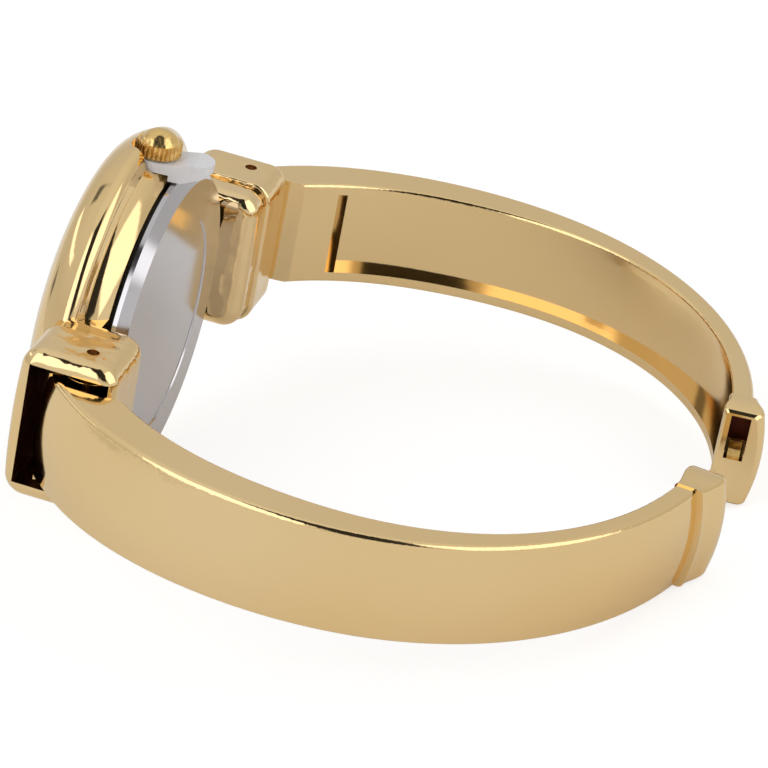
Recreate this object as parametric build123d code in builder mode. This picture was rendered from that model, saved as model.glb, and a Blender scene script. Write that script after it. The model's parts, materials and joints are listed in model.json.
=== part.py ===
import os
from math import asin, atan2, cos, degrees, hypot, pi, radians, sin

from build123d import *

# A quartz bangle watch lying on its side with the crown up. Millimetres.
# Every piece is modelled in the watch's own frame: the case axis is X, the dial looks along -X, the wrist
# is on the +X side of the case back, whose rim is at x = 0, 12 o'clock is +Y and the crown is +Z.
# At the end everything is tilted into the pose in which the watch lies on a table.

# Fits
running_clearance = 0.06
seat_clearance = 0.03
press_clearance = 0.01
seam_gap = 0.05

# Case, from the movement outwards
movement_radius = 9.3
holder_width = 3.05
holder_clearance = 0.17
back_wall = 0.7
holder_radius = movement_radius + holder_width
bore_radius = holder_radius + holder_clearance + back_wall + seat_clearance
bore_wall = 1.05
neck_radius = bore_radius + bore_wall
seam_width = 1.35
seam_radius = neck_radius + seam_width
bezel_overhang = 1.4
bezel_radius = seam_radius + bezel_overhang

# Steel case back
band_taper = 1.1
band_bulge = 0.22
middle_back_radius = seam_radius - band_taper
back_flange_proud = 0.05
back_flange_radius = middle_back_radius + back_flange_proud
back_bevel_width = 1.0
back_edge_radius = back_flange_radius - back_bevel_width
back_flange_depth = 1.3
back_side_lip = 0.4
back_panel_depth = 0.95
back_rim_width = 3.7
back_rim_step = 0.12
back_wall_depth = 3.2
back_groove_width = 0.45
gasket_width = 0.55

# Gold case middle and bezel
seam_depth = 3.55
neck_depth = 6.2
dial_bore_wall = 1.4
dial_bore_radius = neck_radius - dial_bore_wall
bezel_front_rise = 0.93
bezel_lip_radius = 0.9
bezel_lip_depth = 4.75
lip_start_angle = 13
lip_end_angle = 115
dome_shares = [(0.369, 0.884), (0.7, 0.645), (0.878, 0.335)]
dome_end_lean_share = 0.2
crystal_seat_step = 1.2
crystal_seat_radius = dial_bore_radius - crystal_seat_step
crystal_seat_depth = 7.75
bezel_front_depth = crystal_seat_depth + bezel_front_rise
seat_ledge_width = 0.8
seat_ledge_radius = crystal_seat_radius - seat_ledge_width
seat_ledge_thickness = 0.4

# Crystal, dial and hands
crystal_gasket_width = 0.3
crystal_radius = crystal_seat_radius - crystal_gasket_width
crystal_thickness = 0.95
dial_thickness = 0.4
dial_top_depth = 5.85
dial_ring_foot_width = 1.15
dial_hole_radius = 0.9
marker_length = 1.5
marker_width = 0.35
marker_height = 0.22
marker_inset = 0.3
marker_outer_radius = seat_ledge_radius - marker_inset
hour_hand_shortfall = 4.2
minute_hand_shortfall = 1.2
second_hand_shortfall = 0.8
hour_hand_length = marker_outer_radius - hour_hand_shortfall
minute_hand_length = marker_outer_radius - minute_hand_shortfall
second_hand_length = marker_outer_radius - second_hand_shortfall
second_hand_tail = 2.6
hand_thickness = 0.15
hour_hand_width = 0.95
minute_hand_width = 0.8
second_hand_width = 0.22
hand_tip_width_share = 0.35
post_overhang = 0.05
hour_hand_depth = 6.35
minute_hand_depth = 6.85
second_hand_depth = 7.33
shown_minutes = 10 * 60 + 10
shown_seconds = 35

# Crown, stem and transport stop
crown_depth = 3.4
crown_radius = 2.0
notch_floor = 0.85
notch_floor_height = neck_radius + notch_floor
crown_gap = 1.05
crown_base_height = notch_floor_height + crown_gap
crown_knurl_height = 1.2
crown_dome_height = 1.05
crown_top_land = 0.12
crown_roof = 0.7
crown_bore_radius = 1.32
crown_flutes = 30
crown_flute_radius = 0.19
crown_travel = 0.9
tube_radius = 1.0
tube_bore_radius = 0.5
tube_foot = 0.65
tube_overlap = 0.3
tube_foot_height = bore_radius - tube_foot
tube_top_height = crown_base_height + tube_overlap
crown_gasket_height = 0.25
notch_radius = 2.4
stop_thickness = 0.85
stop_half_width = 2.15
stop_handle_reach = 0.1
stop_handle_radius = 1.65
stop_handle_rise = 0.5
stop_handle_slope = 1.8
stop_handle_lift = 0.6
stop_foot_start = 1.7
stop_foot_end = 0.5
stem_radius = 0.42
stem_square = 0.5
stem_square_length = 6.0
stem_end_height = 5.7
sliding_pinion_radius = 1.1
sliding_pinion_length = 1.2
sliding_pinion_teeth = 12

# Hinge hoods at 12 and 6 o'clock
hinge_offset = 7.2
hinge_depth = 0.31
hinge_width = back_flange_radius + hinge_offset
pin_radius = 0.55
pin_sink = 0.7
knuckle_radius = 2.3
knuckle_outer_room = 0.4
knuckle_inner_room = 0.6
hood_outer_width = hinge_width + knuckle_radius + knuckle_outer_room
pocket_floor_width = hinge_width - knuckle_radius - knuckle_inner_room
hood_step_wall = 0.4
hood_step_width = pocket_floor_width - hood_step_wall
hood_back_room = 0.9
hood_neck_inner_width = back_flange_radius + hood_back_room
hood_root_bite = 1.7
hood_root_inner_width = back_flange_radius - hood_root_bite
hood_dial_side = 6.0
hood_dial_bulge = 0.35
hood_wrist_side = 2.85
hood_half_height = 7.0
hood_step = 0.35
hood_root_step = 0.65
hood_corner_radius = 1.9
hood_shoulder_radius = 1.2
hood_step_radius = 0.3
hood_case_gap = 0.1
pocket_dial_side = 4.85
pocket_wrist_side = 2.2
pocket_half_height = 5.65

# Bangle arms, drawn closed: outer and inner faces are superellipses in plan
bow_rise = 7.5
inner_bow_centre = 20.37
inner_bow_length = 26.9
inner_bow_width = hinge_width + bow_rise
inner_bow_power = 2.2
bow_centre_offset = 1.64
arm_side_thickness = 3.9
arm_tip_thickness = 1.95
outer_bow_centre = inner_bow_centre - bow_centre_offset
outer_bow_length = inner_bow_length + bow_centre_offset + arm_tip_thickness
outer_bow_width = inner_bow_width + arm_side_thickness
outer_bow_power = 2.117
arm_root_half_height = 5.12
arm_tip_half_height = 4.55
arm_crown = 0.5
arm_outer_edge_radius = 0.5
arm_inner_edge_radius = 0.3
arm_root_angle = 134
arm_stations = 11
heel_gap = 0.3
recess_start_angle = 116
recess_ramp_angle = 3.5
recess_stations = 8
recess_rim = 1.0
recess_depth = 1.25
recess_shell = 0.95
open_angle_12 = 7.3
open_angle_6 = 6.5

# Beads at the free ends, clasp tongue and catch
bead_length_12 = 3.1
bead_length_6 = 4.7
bead_shoulder = 0.9
bead_nose = 0.3
bead_half_heights = [4.72, 4.72, 4.64, 4.5, 4.28]
bead_steps_in = [0.32, 0.42, 0.52, 0.42, 0.2]
bead_steps_out = [0.35, 1.0, 1.14, 0.9, 0.65]
bead_inner_faces = [inner_bow_centre + inner_bow_length - step for step in bead_steps_in]
bead_outer_faces = [outer_bow_centre + outer_bow_length + step for step in bead_steps_out]
bead_end_gap = 0.05
bead_overlap_share = 0.8
recess_to_bead = 0.9
slot_inner_wall = 0.5
slot_outer_wall = 0.6
slot_inner = bead_inner_faces[-1] + slot_inner_wall
slot_outer = bead_outer_faces[-1] - slot_outer_wall
slot_bottom = 0.6
slot_top = 4.05
slot_depth = 2.6
tongue_base_thickness = 0.8
tongue_tip_thickness = 0.35
tongue_reach = 1.45
tongue_root = 2.0
tongue_bottom = 1.5
tongue_top = 3.9
catch_thickness = 0.3
catch_width = 1.1
catch_rise = 0.75

# Movement
holder_back_depth = 1.1
holder_slot = 0.6
movement_clearance = 0.1
plate_front_depth = 5.4
plate_back_depth = 4.1
plate_recess_depth = 4.65
plate_web = 0.25
bridge_front_depth = 2.35
bridge_thickness = 0.3
bridge_lug_radius = 0.7
pillar_radius = 0.4
pillar_places = [(3.3, 3.6), (-4.2, 3.6), (-3.9, -2.6), (3.0, -2.9)]
pivot_radius = 0.12
pivot_length = 0.2
stud_radius = 0.2
setting_stud_radius = 0.3
gear_module = 0.12
going_module = 0.1
third_module = 0.08
tooth_height_share = 0.65
root_height_share = 1.0
tooth_root_width_share = 0.2
tooth_tip_width_share = 0.09
recess_clearance = 0.15
wheel_gap = 0.1
cannon_teeth = 10
minute_wheel_teeth = 30
minute_pinion_teeth = 8
hour_wheel_teeth = 32
setting_wheel_teeth = 20
rotor_pinion_teeth = 8
intermediate_wheel_teeth = 40
intermediate_pinion_teeth = 8
second_wheel_teeth = 48
second_pinion_teeth = 8
third_wheel_teeth = 60
third_pinion_teeth = 8
centre_wheel_teeth = 64
hour_wheel_depth = 5.3
hour_wheel_thickness = 0.2
minute_wheel_depth = 5.0
minute_wheel_thickness = 0.18
setting_wheel_thickness = 0.6
cannon_length = 0.28
hour_pipe_radius = 0.72
cannon_pipe_radius = 0.44
second_arbor_radius = 0.14
centre_pipe_radius = 0.35
going_wheel_thickness = 0.15
pinion_thickness = 0.25
centre_wheel_depth = 4.0
third_wheel_depth = 3.6
second_wheel_depth = 3.15
intermediate_wheel_depth = 2.75
intermediate_bearing = 16
rotor_bearing = -6
third_bearing = 165
rotor_magnet_radius = 0.7
rotor_magnet_depth = 3.9
rotor_magnet_length = 0.7
stator_depth = 3.7
stator_thickness = 0.3
stator_web = 0.3
stator_arm_width = 0.5
stator_hole_radius = 0.95
coil_radius = 0.8
coil_length = 5.8
coil_place = 7.5
coil_core_radius = 0.35
battery_radius = 2.9
battery_thickness = 1.6
battery_lean = -0.8
battery_drop = 5.9
clamp_width = 1.6
clamp_thickness = 0.15
clamp_leg = 0.3
board_depth = 2.9
board_thickness = 0.25
board_edge = 5.4
can_radius = 0.55
can_length = 4.6
can_place = 6.9
cut_overrun = 2.0


def superellipse(centre, length, width, power, angle):
    """Point of a bow in the XY plane, at an angle measured from the free end."""
    c, s = cos(radians(angle)), sin(radians(angle))
    share = 2 / power
    x = centre + length * (abs(c) ** share) * (1 if c > 0 else -1)
    return x, width * abs(s) ** share


def outer_bow(angle):
    return superellipse(outer_bow_centre, outer_bow_length, outer_bow_width, outer_bow_power, angle)


def inner_bow(angle):
    return superellipse(inner_bow_centre, inner_bow_length, inner_bow_width, inner_bow_power, angle)


def bow_angle(width):
    """Angle at which the inner bow is this far from the middle plane, near the free end."""
    return degrees(asin((width / inner_bow_width) ** (inner_bow_power / 2)))


def arm_plane(angle):
    """Plane across the arm: its origin is on the inner face, its x points outwards, its y along Z."""
    xo, yo = outer_bow(angle)
    xi, yi = inner_bow(angle)
    thickness = hypot(xo - xi, yo - yi)
    out = ((xo - xi) / thickness, (yo - yi) / thickness, 0)
    return Plane(origin=(xi, yi, 0), x_dir=out, z_dir=(out[1], -out[0], 0)), thickness


def half_height_at(x):
    share = max(0, x) / (outer_bow_centre + outer_bow_length)
    return arm_root_half_height + (arm_tip_half_height - arm_root_half_height) * share


def crowned_line(t, h):
    """Closed outline across an arm or bead, t thick and 2 h high, with a bulged outer face."""
    ro, ri = arm_outer_edge_radius, arm_inner_edge_radius
    near = 1 - cos(radians(45))
    Line((0, -h + ri), (0, h - ri))
    ThreePointArc((0, h - ri), (ri * near, h - ri * near), (ri, h))
    Line((ri, h), (t - ro, h))
    ThreePointArc((t - ro, h), (t - ro * near, h - ro * near), (t, h - ro))
    ThreePointArc((t, h - ro), (t + arm_crown, 0), (t, -h + ro))
    ThreePointArc((t, -h + ro), (t - ro * near, -h + ro * near), (t - ro, -h))
    Line((t - ro, -h), (ri, -h))
    ThreePointArc((ri, -h), (ri * near, -h + ri * near), (0, -h + ri))


def spread(first, last, count):
    return [first + (last - first) * i / (count - 1) for i in range(count)]


def bangle_arm(bead_length):
    """One arm on the +Y side in its closed place, with its knuckle, hollow back and bead."""
    hinge = (-hinge_depth, hinge_width)
    root_in, root_out = inner_bow(arm_root_angle), outer_bow(arm_root_angle)
    with BuildPart() as arm:
        for angle in spread(arm_root_angle, bow_angle(bead_length * bead_overlap_share), arm_stations):
            plane, thickness = arm_plane(angle)
            with BuildSketch(plane):
                with BuildLine():
                    crowned_line(thickness, half_height_at(plane.origin.X))
                make_face()
        loft()
        with BuildSketch(Plane.XY.offset(-arm_root_half_height)):
            with BuildLine():
                Polyline(hinge, (hinge[0] - knuckle_radius, hinge[1]), root_out, root_in, close=True)
            make_face()
            with Locations(hinge):
                Circle(knuckle_radius)
        extrude(amount=2 * arm_root_half_height)
        with BuildSketch(Plane.XY.offset(-hood_half_height)):
            with BuildLine():
                corner = (hinge[0] + knuckle_radius, hood_outer_width + heel_gap)
                Polyline(corner, (corner[0] + hood_outer_width, corner[1]),
                         (corner[0] + hood_outer_width, 0), (corner[0], 0), close=True)
            make_face()
            with BuildLine():
                far_x = max(bead_outer_faces) + cut_overrun
                Polyline((inner_bow_centre, 0), (far_x, 0), (far_x, hood_outer_width + heel_gap),
                         (inner_bow_centre, hood_outer_width + heel_gap), close=True)
            make_face(mode=Mode.SUBTRACT)
        extrude(amount=2 * hood_half_height, mode=Mode.SUBTRACT)
        with BuildSketch(Plane.XY.offset(-hood_half_height)):
            with Locations(hinge):
                Circle(pin_radius + running_clearance)
        extrude(amount=2 * hood_half_height, mode=Mode.SUBTRACT)
        bead_stations = [bead_length, bead_length / 2, bead_shoulder, bead_nose, bead_end_gap]
        bead_sizes = list(zip(bead_stations, bead_inner_faces, bead_outer_faces, bead_half_heights))
        for stations, straight in [(bead_sizes[:-1], False), (bead_sizes[-2:], True)]:
            for y, x_in, x_out, half_height in stations:
                with BuildSketch(Plane(origin=(x_in, y, 0), x_dir=(1, 0, 0), z_dir=(0, -1, 0))):
                    with BuildLine():
                        crowned_line(x_out - x_in, half_height)
                    make_face()
            loft(ruled=straight)
        ramp_end = recess_start_angle - recess_ramp_angle
        hollow_end = bow_angle(bead_length + recess_to_bead)
        hollow = [(angle, 1) for angle in spread(ramp_end, hollow_end, recess_stations)]
        for stations, straight in [([(recess_start_angle, 0), (ramp_end, 1)], True), (hollow, False)]:
            for angle, depth_share in stations:
                plane, thickness = arm_plane(angle)
                depth = min(recess_depth, thickness - recess_shell) * depth_share + seam_gap
                with BuildSketch(plane):
                    with Locations(((depth - recess_shell) / 2, 0)):
                        Rectangle(depth + recess_shell, 2 * (half_height_at(plane.origin.X) - recess_rim))
            loft(ruled=straight, mode=Mode.SUBTRACT)
    return arm


def bezel_curve(gap):
    """Outer line of the bezel from the seam over the lip to the crystal opening, in depth and radius."""
    centre = (-bezel_lip_depth, bezel_radius - bezel_lip_radius + gap)
    start, end = radians(lip_start_angle), radians(lip_end_angle)
    middle = (start + end) / 2
    lip = [(centre[0] + bezel_lip_radius * cos(a), centre[1] + bezel_lip_radius * sin(a))
           for a in (start, middle, end)]
    run = bezel_front_depth - bezel_lip_depth
    drop = bezel_radius - crystal_seat_radius
    dome = [(-bezel_lip_depth - run * d, crystal_seat_radius + drop * r + gap) for d, r in dome_shares]
    front = (-bezel_front_depth, crystal_seat_radius + gap)
    Line((-seam_depth, seam_radius + gap), lip[0])
    ThreePointArc(*lip)
    Spline(lip[2], *dome, front, tangents=[(-sin(end), cos(end)), (-dome_end_lean_share, -1)])
    return front


def band_curve():
    """Bulged side of the case middle, from its back edge to the seam."""
    middle_depth = (middle_back_depth + seam_depth) / 2
    middle_radius = (middle_back_radius + seam_radius) / 2
    ThreePointArc((-middle_back_depth, middle_back_radius), (-middle_depth, middle_radius + band_bulge),
                  (-seam_depth, seam_radius))


def wheel_line(teeth, module, phase):
    """Outline of a toothed wheel: slim trapezoid teeth, the first centred at the phase angle."""
    pitch_radius = teeth * module / 2
    tip, root = pitch_radius + module * tooth_height_share, pitch_radius - module * root_height_share
    half_root = 2 * pi / teeth * tooth_root_width_share
    half_tip = 2 * pi / teeth * tooth_tip_width_share
    points = []
    for i in range(teeth):
        middle = radians(phase) + 2 * pi * i / teeth
        for radius, turn in [(root, -half_root), (tip, -half_tip), (tip, half_tip), (root, half_root)]:
            points.append((radius * cos(middle + turn), radius * sin(middle + turn)))
    Polyline(*points, close=True)


def dial_plane(depth, centre=(0, 0), bearing=0):
    """Plane across the case axis, facing the back: its x points at a bearing from 12 o'clock."""
    turn = radians(bearing)
    return Plane(origin=(-depth, *centre), x_dir=(0, cos(turn), sin(turn)), z_dir=(1, 0, 0))


def mesh_phase(bearing, teeth):
    """Phase that turns a gap of a wheel towards a bearing."""
    return bearing + 180 / teeth


def place_at(bearing, distance):
    return distance * cos(radians(bearing)), distance * sin(radians(bearing))


pieces = {}


def keep(builder, label):
    builder.part.label = label
    pieces[label] = builder.part


# Steel case back with its snap wall
with BuildPart() as case_back:
    wall_radius = bore_radius - seat_clearance
    with BuildSketch(Plane.XY):
        with BuildLine():
            Polyline(
                (-back_rim_step, 0),
                (-back_rim_step, back_edge_radius - back_rim_width),
                (0, back_edge_radius - back_rim_width + back_rim_step),
                (0, back_edge_radius),
                (-back_flange_depth + back_side_lip, back_flange_radius),
                (-back_flange_depth, back_flange_radius),
                (-back_flange_depth, wall_radius),
                (-back_wall_depth, wall_radius),
                (-back_wall_depth, wall_radius - back_wall),
                (-back_panel_depth, wall_radius - back_wall),
                (-back_panel_depth, 0),
                close=True,
            )
        make_face()
    revolve(axis=Axis.X)
    with BuildSketch(Plane.XY):
        with Locations((-crown_depth, 0)):
            Circle(tube_radius + running_clearance)
            Rectangle(2 * (tube_radius + running_clearance), 2 * (tube_radius + running_clearance),
                      align=(Align.MAX, Align.CENTER))
    extrude(amount=bore_radius, mode=Mode.SUBTRACT)
keep(case_back, "case_back")

middle_back_depth = back_flange_depth + back_groove_width
with BuildPart() as back_gasket:
    with BuildSketch(Plane.XY):
        with BuildLine():
            Polyline(
                (-back_flange_depth, bore_radius),
                (-back_flange_depth, bore_radius + gasket_width),
                (-middle_back_depth, bore_radius + gasket_width),
                (-middle_back_depth, bore_radius),
                close=True,
            )
        make_face()
    revolve(axis=Axis.X)
keep(back_gasket, "back_gasket")

# Pocket in the case and the bezel under the crown, open towards the wrist for the transport stop
with BuildPart() as crown_notch:
    with BuildSketch(Plane.XY.offset(notch_floor_height)):
        with Locations((-crown_depth, 0)):
            Circle(notch_radius)
        with BuildLine():
            Polyline((-crown_depth, -notch_radius), (cut_overrun, -notch_radius),
                     (cut_overrun, notch_radius), (-crown_depth, notch_radius), close=True)
        make_face()
    extrude(amount=bezel_radius - notch_floor_height + cut_overrun)

with BuildPart() as case_middle:
    with BuildSketch(Plane.XY):
        with BuildLine():
            band_curve()
            Polyline(
                (-seam_depth, seam_radius),
                (-seam_depth, neck_radius),
                (-neck_depth, neck_radius),
                (-neck_depth, dial_bore_radius),
                (-back_wall_depth - running_clearance, dial_bore_radius),
                (-back_wall_depth - running_clearance, bore_radius),
                (-middle_back_depth, bore_radius),
                (-middle_back_depth, middle_back_radius),
            )
        make_face()
    revolve(axis=Axis.X)
    add(crown_notch.part, mode=Mode.SUBTRACT)
    with BuildSketch(Plane.XY):
        with Locations((-crown_depth, 0)):
            Circle(tube_radius + seat_clearance)
    extrude(amount=bezel_radius, mode=Mode.SUBTRACT)
keep(case_middle, "case_middle")

with BuildPart() as bezel:
    with BuildSketch(Plane.XY):
        with BuildLine():
            front = bezel_curve(0)
            Polyline(
                front,
                (-crystal_seat_depth, crystal_seat_radius),
                (-crystal_seat_depth, seat_ledge_radius),
                (-crystal_seat_depth + seat_ledge_thickness, seat_ledge_radius),
                (-crystal_seat_depth + seat_ledge_thickness, dial_bore_radius),
                (-neck_depth - seam_gap, dial_bore_radius),
                (-neck_depth - seam_gap, neck_radius + seat_clearance),
                (-seam_depth, neck_radius + seat_clearance),
                (-seam_depth, seam_radius),
            )
        make_face()
    revolve(axis=Axis.X)
    add(crown_notch.part, mode=Mode.SUBTRACT)
    with BuildSketch(Plane.XY):
        with Locations((-crown_depth, 0)):
            Circle(tube_radius + seat_clearance)
    extrude(amount=bezel_radius, mode=Mode.SUBTRACT)
keep(bezel, "bezel")

# Crystal, gasket, dial ring, dial and markers
crystal_front_depth = crystal_seat_depth + crystal_thickness
with BuildPart() as crystal:
    with BuildSketch(dial_plane(crystal_front_depth)):
        Circle(crystal_radius)
    extrude(amount=crystal_thickness)
    chamfer(crystal.edges().group_by(Axis.X)[0], length=crystal_thickness / 6)
keep(crystal, "crystal")

with BuildPart() as crystal_gasket:
    with BuildSketch(dial_plane(crystal_front_depth - crystal_thickness / 6)):
        Circle(crystal_seat_radius - seat_clearance)
        Circle(crystal_radius + seat_clearance, mode=Mode.SUBTRACT)
    extrude(amount=crystal_thickness * 5 / 6)
keep(crystal_gasket, "crystal_gasket")

dial_ring_front_depth = crystal_seat_depth - seat_ledge_thickness - seam_gap
with BuildPart() as dial_ring:
    with BuildSketch(Plane.XY):
        with BuildLine():
            foot_depth = dial_top_depth + seam_gap
            ring_radius = dial_bore_radius - seat_clearance
            Polyline(
                (-dial_ring_front_depth, seat_ledge_radius),
                (-dial_ring_front_depth, ring_radius),
                (-foot_depth, ring_radius),
                (-foot_depth, ring_radius - dial_ring_foot_width),
                close=True,
            )
        make_face()
    revolve(axis=Axis.X)
keep(dial_ring, "dial_ring")

with BuildPart() as dial:
    with BuildSketch(dial_plane(dial_top_depth)):
        Circle(dial_bore_radius - running_clearance)
        Circle(dial_hole_radius, mode=Mode.SUBTRACT)
    extrude(amount=dial_thickness)
keep(dial, "dial")

with BuildPart() as hour_markers:
    with BuildSketch(dial_plane(dial_top_depth + marker_height)):
        with PolarLocations(marker_outer_radius - marker_length / 2, 12):
            Rectangle(marker_length, marker_width)
    extrude(amount=marker_height)
keep(hour_markers, "hour_markers")


# Hands, drawn pointing along the plane's x and turned clockwise from 12 by their bearing
def hand(length, tail, width, hole_radius, boss_radius, depth, bearing):
    plane = dial_plane(depth, bearing=bearing)
    half, tip = width / 2, width * hand_tip_width_share / 2
    with BuildPart() as piece:
        with BuildSketch(plane):
            with BuildLine():
                Polyline((-tail, -half), (length * 3 / 4, -half), (length, -tip), (length, tip),
                         (length * 3 / 4, half), (-tail, half), close=True)
            make_face()
            Circle(boss_radius)
            Circle(hole_radius, mode=Mode.SUBTRACT)
        extrude(amount=hand_thickness)
    return piece


minute_bearing = shown_minutes % 60 * 6
hour_bearing = shown_minutes / 2
second_bearing = shown_seconds * 6
hour_hand = hand(hour_hand_length, hour_hand_width, hour_hand_width, hour_pipe_radius + press_clearance,
                 hour_pipe_radius + hour_hand_width / 2, hour_hand_depth + hand_thickness, hour_bearing)
keep(hour_hand, "hour_hand")
minute_hand = hand(minute_hand_length, minute_hand_width, minute_hand_width, cannon_pipe_radius + press_clearance,
                   cannon_pipe_radius + minute_hand_width / 2, minute_hand_depth + hand_thickness,
                   minute_bearing)
keep(minute_hand, "minute_hand")
second_hand = hand(second_hand_length, second_hand_tail, second_hand_width, second_arbor_radius + press_clearance,
                   cannon_pipe_radius, second_hand_depth + hand_thickness, second_bearing)
keep(second_hand, "second_hand")

# Crown with its stem, tube and gasket
crown_plane = Plane.XY.offset(crown_base_height)
with BuildPart() as crown:
    with BuildSketch(crown_plane):
        with Locations((-crown_depth, 0)):
            Circle(crown_radius)
            with PolarLocations(crown_radius, crown_flutes):
                Circle(crown_flute_radius, mode=Mode.SUBTRACT)
    extrude(amount=crown_knurl_height)
    land_radius = crown_radius - crown_flute_radius - crown_top_land
    dome_base = crown_base_height + crown_knurl_height
    dome_top = dome_base + crown_dome_height
    with BuildSketch(Plane.XZ):
        with BuildLine():
            rim = (-crown_depth + land_radius, dome_base)
            TangentArc((-crown_depth, dome_top), rim, tangent=(1, 0))
            Polyline(rim, (-crown_depth, dome_base), (-crown_depth, dome_top))
        make_face()
    revolve(axis=Axis((-crown_depth, 0, 0), (0, 0, 1)))
    with BuildSketch(crown_plane):
        with Locations((-crown_depth, 0)):
            Circle(crown_bore_radius)
    extrude(amount=crown_knurl_height + crown_dome_height - crown_roof, mode=Mode.SUBTRACT)
keep(crown, "crown")

crown_ceiling_height = dome_top - crown_roof
with BuildPart() as stem:
    with BuildSketch(Plane.XY.offset(stem_end_height)):
        with Locations((-crown_depth, 0)):
            Rectangle(stem_square, stem_square)
    extrude(amount=stem_square_length)
    with BuildSketch(Plane.XY.offset(stem_end_height + stem_square_length)):
        with Locations((-crown_depth, 0)):
            Circle(stem_radius)
    extrude(amount=crown_ceiling_height - stem_end_height - stem_square_length)
keep(stem, "stem")

with BuildPart() as crown_tube:
    with BuildSketch(Plane.XY.offset(tube_foot_height)):
        with Locations((-crown_depth, 0)):
            Circle(tube_radius)
    extrude(amount=tube_top_height - tube_foot_height)
    with BuildSketch(Plane.XY.offset(tube_foot_height)):
        with Locations((-crown_depth, 0)):
            Circle(tube_bore_radius)
    extrude(amount=tube_top_height - tube_foot_height, mode=Mode.SUBTRACT)
keep(crown_tube, "crown_tube")

with BuildPart() as crown_gasket:
    with BuildSketch(crown_plane):
        with Locations((-crown_depth, 0)):
            Circle(crown_bore_radius)
            Circle(tube_radius + seat_clearance, mode=Mode.SUBTRACT)
    extrude(amount=crown_gasket_height)
keep(crown_gasket, "crown_gasket")

# White fork that holds the crown pulled out: its foot lies over the case back, its round end is the finger tab
stop_base_height = notch_floor_height + seam_gap
stop_top_height = stop_base_height + stop_thickness
stop_tip = stop_handle_reach + stop_handle_radius
with BuildPart() as crown_stop:
    with BuildSketch(Plane.XZ):
        with BuildLine():
            inner_end = -crown_depth - stop_half_width
            foot_height = back_flange_radius + running_clearance
            Polyline(
                (inner_end, stop_base_height),
                (-stop_foot_start, stop_base_height),
                (-stop_foot_start, foot_height),
                (-stop_foot_end, foot_height),
                (stop_tip, stop_base_height + stop_handle_lift),
                (stop_tip, stop_top_height + stop_handle_rise),
                (stop_handle_reach, stop_top_height + stop_handle_rise),
                (stop_handle_reach - stop_handle_slope, stop_top_height),
                (inner_end, stop_top_height),
                close=True,
            )
        make_face()
    extrude(amount=stop_half_width, both=True)
    with BuildSketch(Plane.XY.offset(notch_floor_height - notch_floor)):
        with Locations((-crown_depth, 0)):
            Circle(stop_half_width)
        with Locations((stop_handle_reach, 0)):
            Circle(stop_handle_radius)
        with BuildLine():
            Polyline((-crown_depth, -stop_half_width), (stop_handle_reach, -stop_handle_radius),
                     (stop_handle_reach, stop_handle_radius), (-crown_depth, stop_half_width), close=True)
        make_face()
        with Locations((-crown_depth, 0)):
            Circle(tube_radius + running_clearance, mode=Mode.SUBTRACT)
        with BuildLine():
            slot = tube_radius + running_clearance
            tip = inner_end - cut_overrun
            Polyline((-crown_depth, -slot), (tip, -slot), (tip, slot), (-crown_depth, slot), close=True)
        make_face(mode=Mode.SUBTRACT)
    extrude(amount=bezel_radius, mode=Mode.INTERSECT)
keep(crown_stop, "crown_stop")

# Hinge hood at 12 o'clock; the one at 6 o'clock is its mirror image
with BuildPart() as case_clearance:
    with BuildSketch(Plane.XZ):
        with BuildLine():
            front = bezel_curve(hood_case_gap)
            Polyline(front, (-bezel_front_depth, 0), (-middle_back_depth, 0),
                     (-middle_back_depth, middle_back_radius))
            band_curve()
            Line((-seam_depth, seam_radius), (-seam_depth, seam_radius + hood_case_gap))
        make_face()
    revolve(axis=Axis.X)


def hood_block(inner, outer, step, inner_radius, outer_radius):
    """Block of a hood between two widths, with rounded sides, a bulged dial side and rounded ends."""
    edge, half = -hood_dial_side + hood_dial_bulge + step, hood_half_height - step
    wrist_side = hood_wrist_side - step
    with BuildPart(mode=Mode.PRIVATE) as block:
        with BuildSketch(Plane.XZ.offset(-inner)) as outline:
            with BuildLine():
                ThreePointArc((edge, -half), (edge - hood_dial_bulge, 0), (edge, half))
                Polyline((edge, half), (wrist_side, half), (wrist_side, -half), (edge, -half))
            make_face()
            fillet(outline.vertices(), radius=hood_corner_radius)
        extrude(amount=inner - outer)
        fillet(block.faces().sort_by(Axis.Y)[0].edges(), radius=inner_radius)
        fillet(block.faces().sort_by(Axis.Y)[-1].edges(), radius=outer_radius)
    return block.part


with BuildPart() as hood_12:
    add(hood_block(hood_neck_inner_width, hood_step_width + hood_shoulder_radius, hood_step,
                   hood_shoulder_radius, hood_step_radius))
    add(hood_block(hood_step_width, hood_outer_width, 0, hood_step_radius, hood_shoulder_radius))
    with BuildSketch(Plane.XZ.offset(-hood_root_inner_width)):
        root_dial_side = hood_dial_side - hood_root_step
        with Locations((-(root_dial_side + middle_back_depth) / 2, 0)):
            Rectangle(root_dial_side - middle_back_depth, 2 * (hood_half_height - hood_step - hood_root_step))
    extrude(amount=hood_root_inner_width - hood_step_width)
    add(case_clearance.part, mode=Mode.SUBTRACT)
    with BuildSketch(Plane.XZ.offset(-pocket_floor_width)):
        pocket_middle = (pocket_wrist_side - pocket_dial_side) / 2
        with Locations((pocket_middle, 0)):
            Rectangle(pocket_wrist_side + pocket_dial_side, 2 * pocket_half_height)
    extrude(amount=pocket_floor_width - hood_outer_width - cut_overrun, mode=Mode.SUBTRACT)
    with BuildSketch(Plane.XY.offset(-hood_half_height - cut_overrun)):
        with Locations((-hinge_depth, hinge_width)):
            Circle(pin_radius)
    extrude(amount=2 * (hood_half_height + cut_overrun), mode=Mode.SUBTRACT)
keep(hood_12, "hood_12")

with BuildPart() as hood_6:
    add(hood_12.part)
    mirror(about=Plane.XZ, mode=Mode.REPLACE)
keep(hood_6, "hood_6")

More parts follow.
